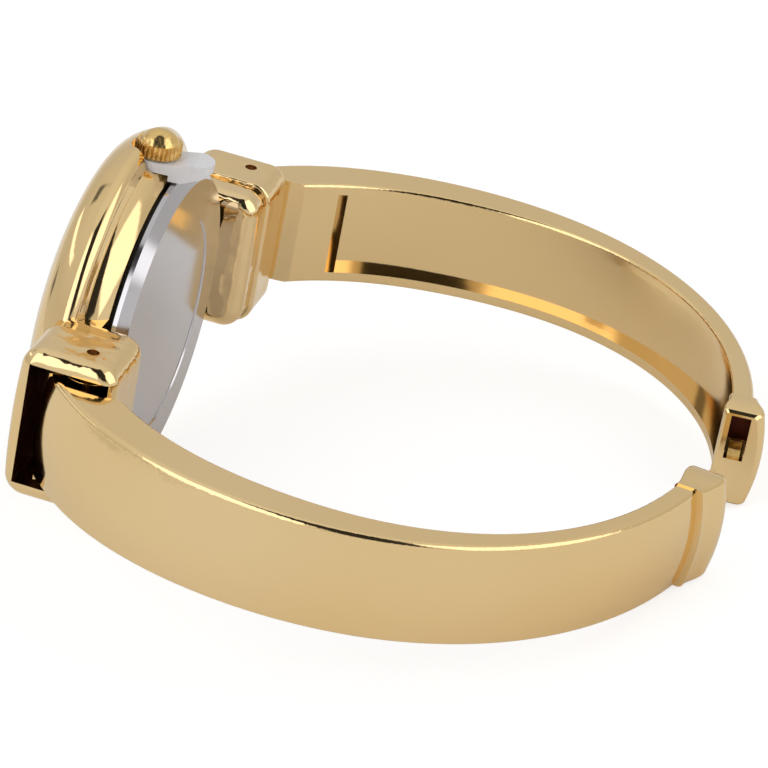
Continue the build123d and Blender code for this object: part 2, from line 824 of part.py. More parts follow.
for label, side in [("hinge_pin_12", 1), ("hinge_pin_6", -1)]:
    with BuildPart() as hinge_pin:
        with BuildSketch(Plane.XY.offset(-hood_half_height + pin_sink)):
            with Locations((-hinge_depth, side * hinge_width)):
                Circle(pin_radius)
        extrude(amount=2 * (hood_half_height - pin_sink))
    keep(hinge_pin, label)

# Arm at 12 o'clock, with the slot that takes the tongue
arm_12 = bangle_arm(bead_length_12)
with BuildPart() as far_arm:
    add(arm_12.part)
    with BuildSketch(Plane.XZ.offset(-slot_depth)):
        with Locations(((slot_inner + slot_outer) / 2, (slot_bottom + slot_top) / 2 - catch_rise / 2)):
            Rectangle(slot_outer - slot_inner, slot_top - slot_bottom + catch_rise)
    extrude(amount=slot_depth + cut_overrun, mode=Mode.SUBTRACT)

# Leaf catch lying on the floor of the slot, its free end bent up behind the tongue
with BuildPart() as catch:
    floor = slot_bottom - catch_rise
    middle = (slot_inner + slot_outer) / 2
    with BuildSketch(Plane.YZ.offset(middle - catch_width / 2)):
        with BuildLine():
            Polyline(
                (slot_depth, floor),
                (slot_depth, floor + catch_rise),
                (slot_depth - catch_thickness, floor + catch_rise),
                (slot_depth - catch_thickness, floor + catch_thickness),
                (slot_depth / 2, floor + catch_thickness),
                (slot_depth / 4, floor + catch_rise),
                (bead_end_gap + catch_thickness, floor + catch_thickness),
                (bead_end_gap + catch_thickness, floor),
                close=True,
            )
        make_face()
    extrude(amount=catch_width)

# Arm at 6 o'clock, made on the same side, with a pocket for the root of the tongue
tongue_middle = (slot_inner + slot_outer) / 2
arm_6 = bangle_arm(bead_length_6)
with BuildPart() as tongue:
    with BuildSketch(Plane.XY.offset(tongue_bottom)):
        with BuildLine():
            base, tip_half = tongue_base_thickness / 2, tongue_tip_thickness / 2
            Polyline(
                (tongue_middle - base, tongue_root),
                (tongue_middle - base, 0),
                (tongue_middle - tip_half, -tongue_reach),
                (tongue_middle + tip_half, -tongue_reach),
                (tongue_middle + base, 0),
                (tongue_middle + base, tongue_root),
                close=True,
            )
        make_face()
    extrude(amount=tongue_top - tongue_bottom)

with BuildPart() as near_arm:
    add(arm_6.part)
    add(tongue.part, mode=Mode.SUBTRACT)


def opened(piece, angle, side, label):
    """Turn a piece made on the +Y side about its hinge, and mirror it for 6 o'clock."""
    turned = piece.part.rotate(Axis((-hinge_depth, hinge_width, 0), (0, 0, 1)), angle)
    with BuildPart() as finished:
        add(turned if side > 0 else turned.mirror(Plane.XZ))
    keep(finished, label)


opened(far_arm, open_angle_12, 1, "arm_12")
opened(catch, open_angle_12, 1, "clasp_catch")
opened(near_arm, open_angle_6, -1, "arm_6")
opened(tongue, open_angle_6, -1, "clasp_tongue")


# Movement: plain wheels about axes along X, made of toothed and round slices from a front to a back depth
def wheel_body(centre, toothed, rounds, bore_radius=0):
    with BuildPart() as body:
        for teeth, module, phase, front, thickness in toothed:
            with BuildSketch(dial_plane(front, centre)):
                with BuildLine():
                    wheel_line(teeth, module, phase)
                make_face()
            extrude(amount=thickness)
        for radius, front, back in rounds:
            with BuildSketch(dial_plane(front, centre)):
                Circle(radius)
            extrude(amount=front - back)
        if bore_radius:
            with BuildSketch(dial_plane(bezel_front_depth, centre)):
                Circle(bore_radius)
            extrude(amount=bezel_front_depth, mode=Mode.SUBTRACT)
    return body


minute_wheel_place = (0, gear_module * (cannon_teeth + minute_wheel_teeth) / 2)
setting_wheel_distance = gear_module * (minute_wheel_teeth + setting_wheel_teeth) / 2
setting_wheel_place = (0, minute_wheel_place[1] + setting_wheel_distance)
intermediate_distance = going_module * (second_wheel_teeth + intermediate_pinion_teeth) / 2
intermediate_place = place_at(intermediate_bearing, intermediate_distance)
rotor_step = place_at(rotor_bearing, going_module * (intermediate_wheel_teeth + rotor_pinion_teeth) / 2)
rotor_place = (intermediate_place[0] + rotor_step[0], intermediate_place[1] + rotor_step[1])
third_distance = third_module * (second_pinion_teeth + third_wheel_teeth) / 2
third_place = place_at(third_bearing, third_distance)
centre_module = 2 * third_distance / (third_pinion_teeth + centre_wheel_teeth)

# Motion works, all in line towards the crown
crown_bearing = 90
pipe_bore = second_arbor_radius + running_clearance
pivot_back = bridge_front_depth - pivot_length
pivot_front = plate_back_depth + pivot_length
cannon_pinion = wheel_body(
    (0, 0),
    [(cannon_teeth, gear_module, crown_bearing, minute_wheel_depth, cannon_length)],
    [(cannon_pipe_radius, minute_hand_depth + hand_thickness + post_overhang, minute_wheel_depth)],
    pipe_bore,
)
keep(cannon_pinion, "cannon_pinion")
hour_wheel = wheel_body(
    (0, 0),
    [(hour_wheel_teeth, gear_module, crown_bearing, hour_wheel_depth, hour_wheel_thickness)],
    [(hour_pipe_radius, hour_hand_depth + hand_thickness + post_overhang, hour_wheel_depth)],
    cannon_pipe_radius + running_clearance,
)
keep(hour_wheel, "hour_wheel")
minute_wheel = wheel_body(
    minute_wheel_place,
    [(minute_wheel_teeth, gear_module, mesh_phase(-crown_bearing, minute_wheel_teeth), minute_wheel_depth,
      minute_wheel_thickness),
     (minute_pinion_teeth, gear_module, mesh_phase(-crown_bearing, minute_pinion_teeth),
      hour_wheel_depth, hour_wheel_depth - minute_wheel_depth)],
    [],
    stud_radius + running_clearance,
)
keep(minute_wheel, "minute_wheel")
setting_wheel = wheel_body(
    setting_wheel_place,
    [(setting_wheel_teeth, gear_module, -crown_bearing, minute_wheel_depth, setting_wheel_thickness)],
    [],
    setting_stud_radius + running_clearance,
)
keep(setting_wheel, "setting_wheel")

# Clutch pinion that slides on the square of the stem, toothed towards the setting wheel
setting_wheel_reach = gear_module * (setting_wheel_teeth / 2 + tooth_height_share)
sliding_pinion_foot = setting_wheel_place[1] + setting_wheel_reach + wheel_gap
with BuildPart() as sliding_pinion:
    with BuildSketch(Plane.XY.offset(sliding_pinion_foot)):
        with Locations((-crown_depth, 0)):
            Circle(sliding_pinion_radius)
            Rectangle(stem_square + running_clearance, stem_square + running_clearance, mode=Mode.SUBTRACT)
    extrude(amount=sliding_pinion_length)
    tooth_gap = pi * sliding_pinion_radius / sliding_pinion_teeth
    with BuildSketch(Plane.XY.offset(sliding_pinion_foot)):
        with Locations((-crown_depth, 0)):
            with PolarLocations(sliding_pinion_radius, sliding_pinion_teeth):
                Rectangle(sliding_pinion_radius, tooth_gap)
    extrude(amount=sliding_pinion_length / 4, mode=Mode.SUBTRACT)
keep(sliding_pinion, "sliding_pinion")

# Going train from the stepping rotor to the seconds, and on to the centre wheel
centre_wheel = wheel_body(
    (0, 0),
    [(centre_wheel_teeth, centre_module, third_bearing, centre_wheel_depth, going_wheel_thickness)],
    [(centre_pipe_radius, minute_wheel_depth - cannon_length, centre_wheel_depth)],
    pipe_bore,
)
keep(centre_wheel, "centre_wheel")
third_wheel = wheel_body(
    third_place,
    [(third_wheel_teeth, third_module, third_bearing + 180, third_wheel_depth, going_wheel_thickness),
     (third_pinion_teeth, centre_module, mesh_phase(third_bearing + 180, third_pinion_teeth),
      centre_wheel_depth, centre_wheel_depth - third_wheel_depth)],
    [(pivot_radius, pivot_front, pivot_back)],
)
keep(third_wheel, "third_wheel")
second_pinion_depth = third_wheel_depth + (pinion_thickness - going_wheel_thickness) / 2
second_wheel = wheel_body(
    (0, 0),
    [(second_wheel_teeth, going_module, intermediate_bearing, second_wheel_depth, going_wheel_thickness),
     (second_pinion_teeth, third_module, mesh_phase(third_bearing, second_pinion_teeth),
      second_pinion_depth, second_pinion_depth - second_wheel_depth)],
    [(second_arbor_radius, second_hand_depth + hand_thickness + post_overhang, pivot_back)],
)
keep(second_wheel, "second_wheel")
intermediate_pinion_depth = second_wheel_depth + (pinion_thickness - going_wheel_thickness) / 2
intermediate_wheel = wheel_body(
    intermediate_place,
    [(intermediate_wheel_teeth, going_module, rotor_bearing, intermediate_wheel_depth,
      going_wheel_thickness),
     (intermediate_pinion_teeth, going_module,
      mesh_phase(intermediate_bearing + 180, intermediate_pinion_teeth),
      intermediate_pinion_depth, intermediate_pinion_depth - intermediate_wheel_depth)],
    [(pivot_radius, pivot_front, pivot_back)],
)
keep(intermediate_wheel, "intermediate_wheel")
rotor_pinion_depth = intermediate_wheel_depth + (pinion_thickness - going_wheel_thickness) / 2
rotor = wheel_body(
    rotor_place,
    [(rotor_pinion_teeth, going_module, mesh_phase(rotor_bearing + 180, rotor_pinion_teeth),
      rotor_pinion_depth, pinion_thickness)],
    [(rotor_magnet_radius, rotor_magnet_depth, rotor_magnet_depth - rotor_magnet_length),
     (pivot_radius, pivot_front, pivot_back)],
)
keep(rotor, "rotor")

# Mainplate with the studs, the recess for the motion works and the way for the clutch pinion
with BuildPart() as mainplate:
    with BuildSketch(dial_plane(plate_front_depth)):
        Circle(movement_radius)
    extrude(amount=plate_front_depth - plate_back_depth)
    with BuildSketch(dial_plane(plate_front_depth)):
        Circle(gear_module * (hour_wheel_teeth / 2 + tooth_height_share) + recess_clearance)
        with Locations(minute_wheel_place):
            Circle(gear_module * (minute_wheel_teeth / 2 + tooth_height_share) + recess_clearance)
    extrude(amount=plate_front_depth - plate_recess_depth, mode=Mode.SUBTRACT)
    with BuildSketch(dial_plane(plate_front_depth)):
        with Locations(setting_wheel_place):
            Circle(setting_wheel_reach + recess_clearance)
    extrude(amount=plate_front_depth - plate_back_depth - plate_web, mode=Mode.SUBTRACT)
    clutch_half = sliding_pinion_radius + wheel_gap
    with BuildSketch(dial_plane(plate_front_depth)):
        with Locations((0, sliding_pinion_foot - wheel_gap)):
            Rectangle(2 * clutch_half, movement_radius, align=(Align.CENTER, Align.MIN))
    extrude(amount=plate_front_depth - plate_back_depth, mode=Mode.SUBTRACT)
    with BuildSketch(dial_plane(plate_front_depth)):
        Circle(centre_pipe_radius + running_clearance)
    extrude(amount=plate_front_depth - plate_back_depth, mode=Mode.SUBTRACT)
    with BuildSketch(dial_plane(pivot_front + seam_gap)):
        with Locations(third_place, intermediate_place, rotor_place):
            Circle(pivot_radius + seat_clearance)
    extrude(amount=pivot_length + seam_gap, mode=Mode.SUBTRACT)
    with BuildSketch(dial_plane(hour_wheel_depth)):
        with Locations(minute_wheel_place):
            Circle(stud_radius)
    extrude(amount=hour_wheel_depth - plate_recess_depth)
    with BuildSketch(dial_plane(minute_wheel_depth)):
        with Locations(setting_wheel_place):
            Circle(setting_stud_radius)
    extrude(amount=minute_wheel_depth - plate_back_depth - plate_web)
keep(mainplate, "mainplate")

with BuildPart() as train_bridge:
    with BuildSketch(dial_plane(bridge_front_depth)):
        with Locations(rotor_place, *pillar_places):
            Circle(bridge_lug_radius)
        make_hull()
        with Locations((0, 0)):
            Circle(second_arbor_radius + seat_clearance, mode=Mode.SUBTRACT)
        with Locations(third_place, intermediate_place, rotor_place):
            Circle(pivot_radius + seat_clearance, mode=Mode.SUBTRACT)
    extrude(amount=bridge_thickness)
    with BuildSketch(dial_plane(plate_back_depth)):
        with Locations(*pillar_places):
            Circle(pillar_radius)
    extrude(amount=plate_back_depth - bridge_front_depth)
keep(train_bridge, "train_bridge")

# Stepping motor: stator plate with the rotor hole, coil and its core
coil_half = coil_length / 2
stator_reach = coil_half + stator_arm_width
stator_edge = rotor_place[0] - stator_hole_radius - stator_web
with BuildPart() as stator:
    with BuildSketch(dial_plane(stator_depth)):
        with Locations((stator_edge, 0)):
            Rectangle(coil_place + coil_radius - stator_edge, 2 * stator_reach,
                      align=(Align.MIN, Align.CENTER))
        with Locations((coil_place - coil_radius - wheel_gap, 0)):
            Rectangle(movement_radius, coil_length, align=(Align.MIN, Align.CENTER), mode=Mode.SUBTRACT)
        with Locations(rotor_place):
            Circle(stator_hole_radius, mode=Mode.SUBTRACT)
    extrude(amount=stator_thickness)
keep(stator, "stator")

coil_depth = stator_depth - stator_thickness - coil_core_radius
with BuildPart() as coil:
    with BuildSketch(Plane.XY.offset(-coil_half + seam_gap)):
        with Locations((-coil_depth, coil_place)):
            Circle(coil_radius)
    extrude(amount=coil_length - 2 * seam_gap)
    with BuildSketch(Plane.XY.offset(-stator_reach)):
        with Locations((-coil_depth, coil_place)):
            Circle(coil_core_radius)
    extrude(amount=2 * stator_reach)
keep(coil, "coil")

# Battery under its clamp, circuit board and quartz can
battery_front_depth = plate_back_depth - seam_gap
clamp_front_depth = battery_front_depth - battery_thickness
battery_place = (battery_lean, -battery_drop)
with BuildPart() as battery:
    with BuildSketch(dial_plane(battery_front_depth, battery_place)):
        Circle(battery_radius)
    extrude(amount=battery_thickness)
    fillet(battery.edges().filter_by(GeomType.CIRCLE), radius=clamp_thickness)
keep(battery, "battery")

with BuildPart() as battery_clamp:
    clamp_half = battery_radius + wheel_gap + clamp_leg
    with BuildSketch(dial_plane(clamp_front_depth, battery_place)):
        Rectangle(2 * clamp_half, clamp_width)
    extrude(amount=clamp_thickness)
    with BuildSketch(dial_plane(plate_back_depth, battery_place)):
        with Locations((clamp_half - clamp_leg / 2, 0), (clamp_leg / 2 - clamp_half, 0)):
            Rectangle(clamp_leg, clamp_width)
    extrude(amount=plate_back_depth - clamp_front_depth)
keep(battery_clamp, "battery_clamp")

with BuildPart() as circuit_board:
    with BuildSketch(dial_plane(board_depth)):
        Circle(movement_radius - movement_clearance)
        with Locations((-board_edge, 0)):
            Rectangle(2 * movement_radius, 2 * movement_radius, align=(Align.MIN, Align.CENTER),
                      mode=Mode.SUBTRACT)
    extrude(amount=board_thickness)
keep(circuit_board, "circuit_board")

with BuildPart() as quartz_can:
    with BuildSketch(Plane.XY.offset(-can_length / 2)):
        with Locations((-board_depth - can_radius, -can_place)):
            Circle(can_radius)
    extrude(amount=can_length)
keep(quartz_can, "quartz_can")

with BuildPart() as movement_holder:
    with BuildSketch(dial_plane(plate_front_depth)):
        Circle(holder_radius)
        Circle(movement_radius + movement_clearance, mode=Mode.SUBTRACT)
    extrude(amount=plate_front_depth - holder_back_depth)
    with BuildSketch(Plane.XY):
        with Locations((-crown_depth, 0)):
            Rectangle(2 * holder_slot, 2 * holder_slot)
    extrude(amount=bore_radius, mode=Mode.SUBTRACT)
keep(movement_holder, "movement_holder")

# Pose on a table: the bezel's lip and the lower edge of the bead of the arm that is open further touch it
tip_depth = max(bead_outer_faces) - arm_outer_edge_radius + hinge_depth
tip_width = bead_end_gap - hinge_width
tip_bearing = atan2(tip_width, tip_depth) + radians(open_angle_12)
tip_x = hypot(tip_depth, tip_width) * cos(tip_bearing) - hinge_depth
run = tip_x + bezel_lip_depth
rise = bezel_radius - bezel_lip_radius - max(bead_half_heights) + arm_outer_edge_radius
lean = atan2(rise, run) + asin((bezel_lip_radius - arm_outer_edge_radius) / hypot(run, rise))
tilted = Rotation(0, degrees(lean), 0)
boxes = [piece.moved(tilted).bounding_box() for piece in pieces.values()]
middle_x = (min(b.min.X for b in boxes) + max(b.max.X for b in boxes)) / 2
middle_y = (min(b.min.Y for b in boxes) + max(b.max.Y for b in boxes)) / 2
floor_z = min(b.min.Z for b in boxes)
rest = Location((-middle_x, -middle_y, -floor_z)) * tilted

os.makedirs("parts", exist_ok=True)
for label, piece in pieces.items():
    placed = piece.moved(rest)
    placed.label = label
    export_step(placed, f"parts/{label}.step")

# Where the moving pieces turn and slide, in the pose on the table
places = {
    "case": (0, 0, 0),
    "pin_12": (-hinge_depth, hinge_width, 0),
    "pin_6": (-hinge_depth, -hinge_width, 0),
    "crown": (-crown_depth, 0, crown_base_height),
    "stop": (-crown_depth, 0, stop_base_height),
    "minute_wheel": (-minute_wheel_depth, *minute_wheel_place),
    "setting_wheel": (-minute_wheel_depth, *setting_wheel_place),
    "intermediate": (-intermediate_wheel_depth, *intermediate_place),
    "rotor": (-rotor_magnet_depth, *rotor_place),
    "third": (-third_wheel_depth, *third_place),
    "back_face": (0, 0, 0),
}
print("lean in degrees", round(degrees(lean), 4))
for label, point in places.items():
    spot = rest * Location(point)
    print(label, [round(value, 4) for value in spot.position])
size = [max(b.max.X for b in boxes) - min(b.min.X for b in boxes),
        max(b.max.Y for b in boxes) - min(b.min.Y for b in boxes),
        max(b.max.Z for b in boxes) - floor_z]
print("size", [round(value, 3) for value in size])
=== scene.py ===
import json
import math

import bpy
from mathutils import Matrix, Vector

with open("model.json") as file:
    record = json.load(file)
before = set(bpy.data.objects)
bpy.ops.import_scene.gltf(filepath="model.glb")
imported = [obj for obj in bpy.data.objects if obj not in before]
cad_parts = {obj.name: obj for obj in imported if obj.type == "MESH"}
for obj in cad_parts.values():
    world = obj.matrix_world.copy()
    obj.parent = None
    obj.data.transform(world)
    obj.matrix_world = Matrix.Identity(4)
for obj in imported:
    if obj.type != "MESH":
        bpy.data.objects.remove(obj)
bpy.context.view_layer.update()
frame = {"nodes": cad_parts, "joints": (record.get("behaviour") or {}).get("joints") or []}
nodes = frame["nodes"]
joints = {joint["name"]: joint for joint in frame["joints"]}
bpy.ops.object.select_all(action="DESELECT")

# The watch's own axes start at the middle of the case back. X runs to the clasp, Y to 12 o'clock and
# Z to the crown. The hands turn about X, which leans because the watch lies on its side.
MM = 0.001
CASE = Vector(joints["minute_turn"]["pos_m"])
case_axis = Vector(joints["minute_turn"]["axis"])
LEAN = math.atan2(-case_axis.z, case_axis.x)
LEANING = Matrix.Rotation(LEAN, 3, "Y")


def turned(direction):
    """A direction given in the watch's own axes, as it lies."""
    return LEANING @ Vector(direction)


def from_case(point):
    """A place given in the watch's own axes in mm, as it lies."""
    return CASE + turned(point) * MM


def in_own_axes(place):
    """A place in the scene, in the watch's own axes in mm."""
    return LEANING.transposed() @ (Vector(place) - CASE) / MM


# Building blocks of the materials

def node(tree, kind, inputs=None, **settings):
    """A node with its settings. Each input is named or numbered, and is a value or another node's output."""
    made = tree.nodes.new(kind)
    for key, value in settings.items():
        setattr(made, key, value)
    for key, value in (inputs or {}).items():
        if isinstance(value, bpy.types.NodeSocket):
            tree.links.new(value, made.inputs[key])
        else:
            made.inputs[key].default_value = value
    return made


def math_node(tree, operation, first, second=0.0, third=0.0):
    """The result of an operation on one, two or three values."""
    return node(tree, "ShaderNodeMath", {0: first, 1: second, 2: third}, operation=operation).outputs[0]


def opaque(color):
    """Red, green and blue with full alpha, as a colour input takes them."""
    return (*color, 1)


def mixed(tree, share, first, second):
    """The first colour at a share of 0 and the second at 1."""
    inputs = {"Factor": share, "A": first, "B": second}
    return node(tree, "ShaderNodeMix", inputs, data_type="RGBA").outputs["Result"]


def noise(tree, place, scale, detail, roughness=0.5, distortion=0.0):
    """Noise from 0 to 1, with its scale per metre."""
    inputs = {"Vector": place, "Scale": scale, "Detail": detail, "Roughness": roughness,
              "Distortion": distortion}
    return node(tree, "ShaderNodeTexNoise", inputs).outputs["Fac"]


def ranged(tree, value, from_min=0.0, from_max=1.0, to_min=0.0, to_max=1.0, **settings):
    """A value moved from one range to another, and held within it."""
    inputs = {"Value": value, "From Min": from_min, "From Max": from_max, "To Min": to_min, "To Max": to_max}
    return node(tree, "ShaderNodeMapRange", inputs, **settings).outputs["Result"]


def bump(tree, height, strength, distance, **inputs):
    """The normal of a surface raised by a height, over a distance in metres."""
    inputs |= {"Height": height, "Strength": strength, "Distance": distance}
    return node(tree, "ShaderNodeBump", inputs).outputs["Normal"]


def faded_to_edge(tree, reach, fade):
    """1 inside, falling smoothly to 0 over the last share of a reach that is 1 at the edge."""
    inner = math_node(tree, "SUBTRACT", 1.0, fade)
    return ranged(tree, reach, from_min=inner, to_min=1.0, to_max=0.0, interpolation_type="SMOOTHSTEP")


def new_group(name, inputs, outputs):
    """An empty node group, with inputs as name to (type, default) and outputs as name to type."""
    group = bpy.data.node_groups.new(name, "ShaderNodeTree")
    for label, (kind, value) in inputs.items():
        socket = group.interface.new_socket(name=label, in_out="INPUT", socket_type=kind)
        socket.default_value = value
    for label, kind in outputs.items():
        group.interface.new_socket(name=label, in_out="OUTPUT", socket_type=kind)
    return group, group.nodes.new("NodeGroupInput"), group.nodes.new("NodeGroupOutput")


def grouped(tree, group, values):
    """A group used in a material or the world, with its inputs set."""
    return node(tree, "ShaderNodeGroup", values, node_tree=group)


def material(name):
    """A new material, its node tree and its shader."""
    made = bpy.data.materials.new(name)
    made.use_nodes = True
    return made, made.node_tree, made.node_tree.nodes["Principled BSDF"]


# Shared surface effects

def plating_group():
    """Hand-polished plate: soft waves under the polish, hairlines, cloudy wear and a few pinpricks."""
    group, start, end = new_group(
        "polished plate",
        {"Wave Size": ("NodeSocketFloat", 400.0), "Wave Height": ("NodeSocketFloat", 0.1),
         "Gloss": ("NodeSocketFloat", 0.1), "Haze": ("NodeSocketFloat", 0.05),
         "Tint": ("NodeSocketColor", (0.8, 0.6, 0.3, 1)),
         "Deep Tint": ("NodeSocketColor", (0.7, 0.5, 0.2, 1))},
        {"Color": "NodeSocketColor", "Roughness": "NodeSocketFloat", "Normal": "NodeSocketVector"})
    given = start.outputs
    place = node(group, "ShaderNodeTexCoord").outputs["Object"]

    waves = noise(group, place, scale=given["Wave Size"], detail=1.5, roughness=0.4)
    along_brushing = node(group, "ShaderNodeMapping", {
        "Vector": place, "Scale": (0.25, 0.4, 5.0), "Rotation": (0.0, LEAN, 0.0)}).outputs[0]
    hairs = noise(group, along_brushing, scale=900.0, detail=6.0, roughness=0.7, distortion=0.6)
    waved = bump(group, waves, strength=given["Wave Height"], distance=0.0006)
    haired = bump(group, hairs, strength=0.02, distance=0.00002, Normal=waved)
    group.links.new(haired, end.inputs["Normal"])

    cloud = noise(group, place, scale=160.0, detail=4.0, roughness=0.6)
    pricks = node(group, "ShaderNodeTexVoronoi", {"Vector": place, "Scale": 500.0}).outputs["Distance"]
    prick = ranged(group, pricks, from_max=0.05, to_min=1.0, to_max=0.0)
    hazy = math_node(group, "MULTIPLY_ADD", cloud, given["Haze"], given["Gloss"])
    group.links.new(math_node(group, "MULTIPLY_ADD", prick, 0.2, hazy), end.inputs["Roughness"])

    drift = noise(group, place, scale=45.0, detail=1.0)
    spread = ranged(group, drift, from_min=0.35, from_max=0.65)
    group.links.new(mixed(group, spread, given["Tint"], given["Deep Tint"]), end.inputs["Color"])
    return group


def shade_box_group():
    """Whether a point lies inside a turned box: 1 inside, falling to 0 at its faces."""
    group, start, end = new_group(
        "inside a box",
        {"Middle": ("NodeSocketVector", (0, 0, 0)), "Turn": ("NodeSocketVector", (0, 0, 0)),
         "Half Size": ("NodeSocketVector", (1, 1, 1)), "Fade": ("NodeSocketFloat", 0.06)},
        {"Mask": "NodeSocketFloat"})
    given = start.outputs
    place = node(group, "ShaderNodeTexCoord").outputs["Object"]
    inside = node(group, "ShaderNodeMapping", {
        "Vector": place, "Location": given["Middle"], "Rotation": given["Turn"],
        "Scale": given["Half Size"]}, vector_type="TEXTURE").outputs[0]
    reach = node(group, "ShaderNodeVectorMath", {0: inside}, operation="ABSOLUTE").outputs[0]
    parts = node(group, "ShaderNodeSeparateXYZ", {0: reach}).outputs
    widest = math_node(group, "MAXIMUM", parts["X"], parts["Y"])
    widest = math_node(group, "MAXIMUM", widest, parts["Z"])
    group.links.new(faded_to_edge(group, widest, given["Fade"]), end.inputs["Mask"])
    return group


PLATE = plating_group()
SHADE_BOX = shade_box_group()


# Finishes

# Painted shade: the near-black colour and extra roughness laid inside recesses, where shade falls
PAINTED_SHADE = (0.07, 0.018, 0.011)
PAINTED_SHADE_ROUGHNESS = 0.3


def polished(name, tint, deep, wave_size, wave_height, gloss, haze, painted_shade_boxes=()):
    """Metal with the shared plate finish, and painted shade in boxes that darkens and roughens it there.

    A box is its middle, its half size and its turn about Z, in the watch's own axes, in mm and degrees.
    """
    made, tree, shader = material(name)
    plate = grouped(tree, PLATE, {
        "Wave Size": wave_size, "Wave Height": wave_height, "Gloss": gloss, "Haze": haze,
        "Tint": opaque(tint), "Deep Tint": opaque(deep)}).outputs
    color, rough = plate["Color"], plate["Roughness"]
    # Each box paints shade into the colour and fades out at the box's faces
    for middle, half_size, angle in painted_shade_boxes:
        spin = LEANING @ Matrix.Rotation(math.radians(angle), 3, "Z")
        box = grouped(tree, SHADE_BOX, {
            "Middle": from_case(middle), "Half Size": Vector(half_size) * MM, "Turn": spin.to_euler("XYZ")})
        mask = box.outputs["Mask"]
        color = mixed(tree, mask, color, opaque(PAINTED_SHADE))
        rough = math_node(tree, "MULTIPLY_ADD", mask, PAINTED_SHADE_ROUGHNESS, rough)
    shader.inputs["Metallic"].default_value = 1.0
    tree.links.new(color, shader.inputs["Base Color"])
    tree.links.new(rough, shader.inputs["Roughness"])
    tree.links.new(plate["Normal"], shader.inputs["Normal"])
    return made


def moulded(name, color, roughness, grain_size, grain_height, **inputs):
    """Plastic, rubber or lacquer with a fine grain that dims its colour and varies its roughness."""
    dimmed = 0.86
    roughness_swing = 0.06
    made, tree, shader = material(name)
    place = node(tree, "ShaderNodeTexCoord").outputs["Object"]
    grain = noise(tree, place, scale=grain_size, detail=3.0)
    shade = mixed(tree, grain, opaque(color), opaque([part * dimmed for part in color]))
    rough = ranged(tree, grain, to_min=roughness - roughness_swing, to_max=roughness + roughness_swing)
    raised = bump(tree, grain, strength=grain_height, distance=0.00003)
    tree.links.new(shade, shader.inputs["Base Color"])
    tree.links.new(rough, shader.inputs["Roughness"])
    tree.links.new(raised, shader.inputs["Normal"])
    for label, value in inputs.items():
        shader.inputs[label].default_value = value
    return made


def clear_glass(name):
    """Clean clear glass."""
    made, tree, shader = material(name)
    shader.inputs["Base Color"].default_value = (0.97, 0.985, 0.98, 1)
    shader.inputs["Roughness"].default_value = 0.02
    shader.inputs["IOR"].default_value = 1.5
    shader.inputs["Transmission Weight"].default_value = 1.0
    return made


def opened(point, pin, degrees):
    """A point of a closed arm, turned open about its pin, all in the watch's own axes."""
    about_pin = Matrix.Rotation(math.radians(degrees), 3, "Z")
    pin = Vector((pin.x, pin.y, 0.0))
    return pin + about_pin @ (Vector(point) - pin)


# Boxes of painted shade: the hood pockets behind the knuckles, and the slot in the bead of the arm at 12
# o'clock while closed
POCKET_DEPTH, POCKET_REACH = -3.5, 21.6
POCKET_HALF = (1.5, 2.85, 5.8)
SLOT_MIDDLE = (48.42, 1.3, 2.33)
SLOT_HALF = (0.92, 1.4, 1.78)
hinge_12 = joints["arm_12_hinge"]
open_12 = -hinge_12["range_deg"][0]
slot_middle = opened(SLOT_MIDDLE, in_own_axes(hinge_12["pos_m"]), open_12)
clasp_slot = [(slot_middle, SLOT_HALF, open_12)]
pockets = [((POCKET_DEPTH, side * POCKET_REACH, 0.0), POCKET_HALF, 0.0) for side in (1, -1)]

GOLD = (0.895, 0.668, 0.36)
DEEP_GOLD = (0.87, 0.635, 0.315)
# The arms and the hoods get the painted shade boxes in their colour
gold_arm = polished(
    "gold plate on the arms", GOLD, DEEP_GOLD,
    wave_size=90.0, wave_height=0.02, gloss=0.07, haze=0.05, painted_shade_boxes=clasp_slot)
gold_case = polished(
    "gold plate on the case", GOLD, DEEP_GOLD,
    wave_size=260.0, wave_height=0.06, gloss=0.05, haze=0.05)
gold_hood = polished(
    "gold plate on the hoods", GOLD, DEEP_GOLD,
    wave_size=520.0, wave_height=0.3, gloss=0.06, haze=0.06, painted_shade_boxes=pockets)
gold_crown = polished(
    "gold plate on the crown", (0.89, 0.65, 0.3), (0.85, 0.58, 0.22),
    wave_size=900.0, wave_height=0.5, gloss=0.16, haze=0.12)
gold_small = polished(
    "gold plate on small parts", GOLD, DEEP_GOLD,
    wave_size=600.0, wave_height=0.05, gloss=0.12, haze=0.08)
gold_leaf = polished(
    "brushed clasp leaf", (0.95, 0.7, 0.3), (0.9, 0.6, 0.2),
    wave_size=1200.0, wave_height=0.3, gloss=0.38, haze=0.15)
back_steel = polished(
    "polished case back", (0.62, 0.6, 0.63), (0.58, 0.56, 0.58),
    wave_size=200.0, wave_height=0.02, gloss=0.08, haze=0.06)
hinge_pin = polished(
    "darkened hinge pin", (0.2, 0.13, 0.1), (0.14, 0.08, 0.06),
    wave_size=900.0, wave_height=0.05, gloss=0.35, haze=0.15)
pin_steel = polished(
    "pin steel", (0.5, 0.49, 0.47), (0.4, 0.39, 0.37),
    wave_size=900.0, wave_height=0.05, gloss=0.25, haze=0.1)
brass = polished(
    "movement brass", (0.8, 0.62, 0.32), (0.72, 0.54, 0.26),
    wave_size=1500.0, wave_height=0.05, gloss=0.28, haze=0.15)
bright_steel = polished(
    "movement steel", (0.68, 0.68, 0.69), (0.6, 0.6, 0.62),
    wave_size=1200.0, wave_height=0.05, gloss=0.22, haze=0.12)

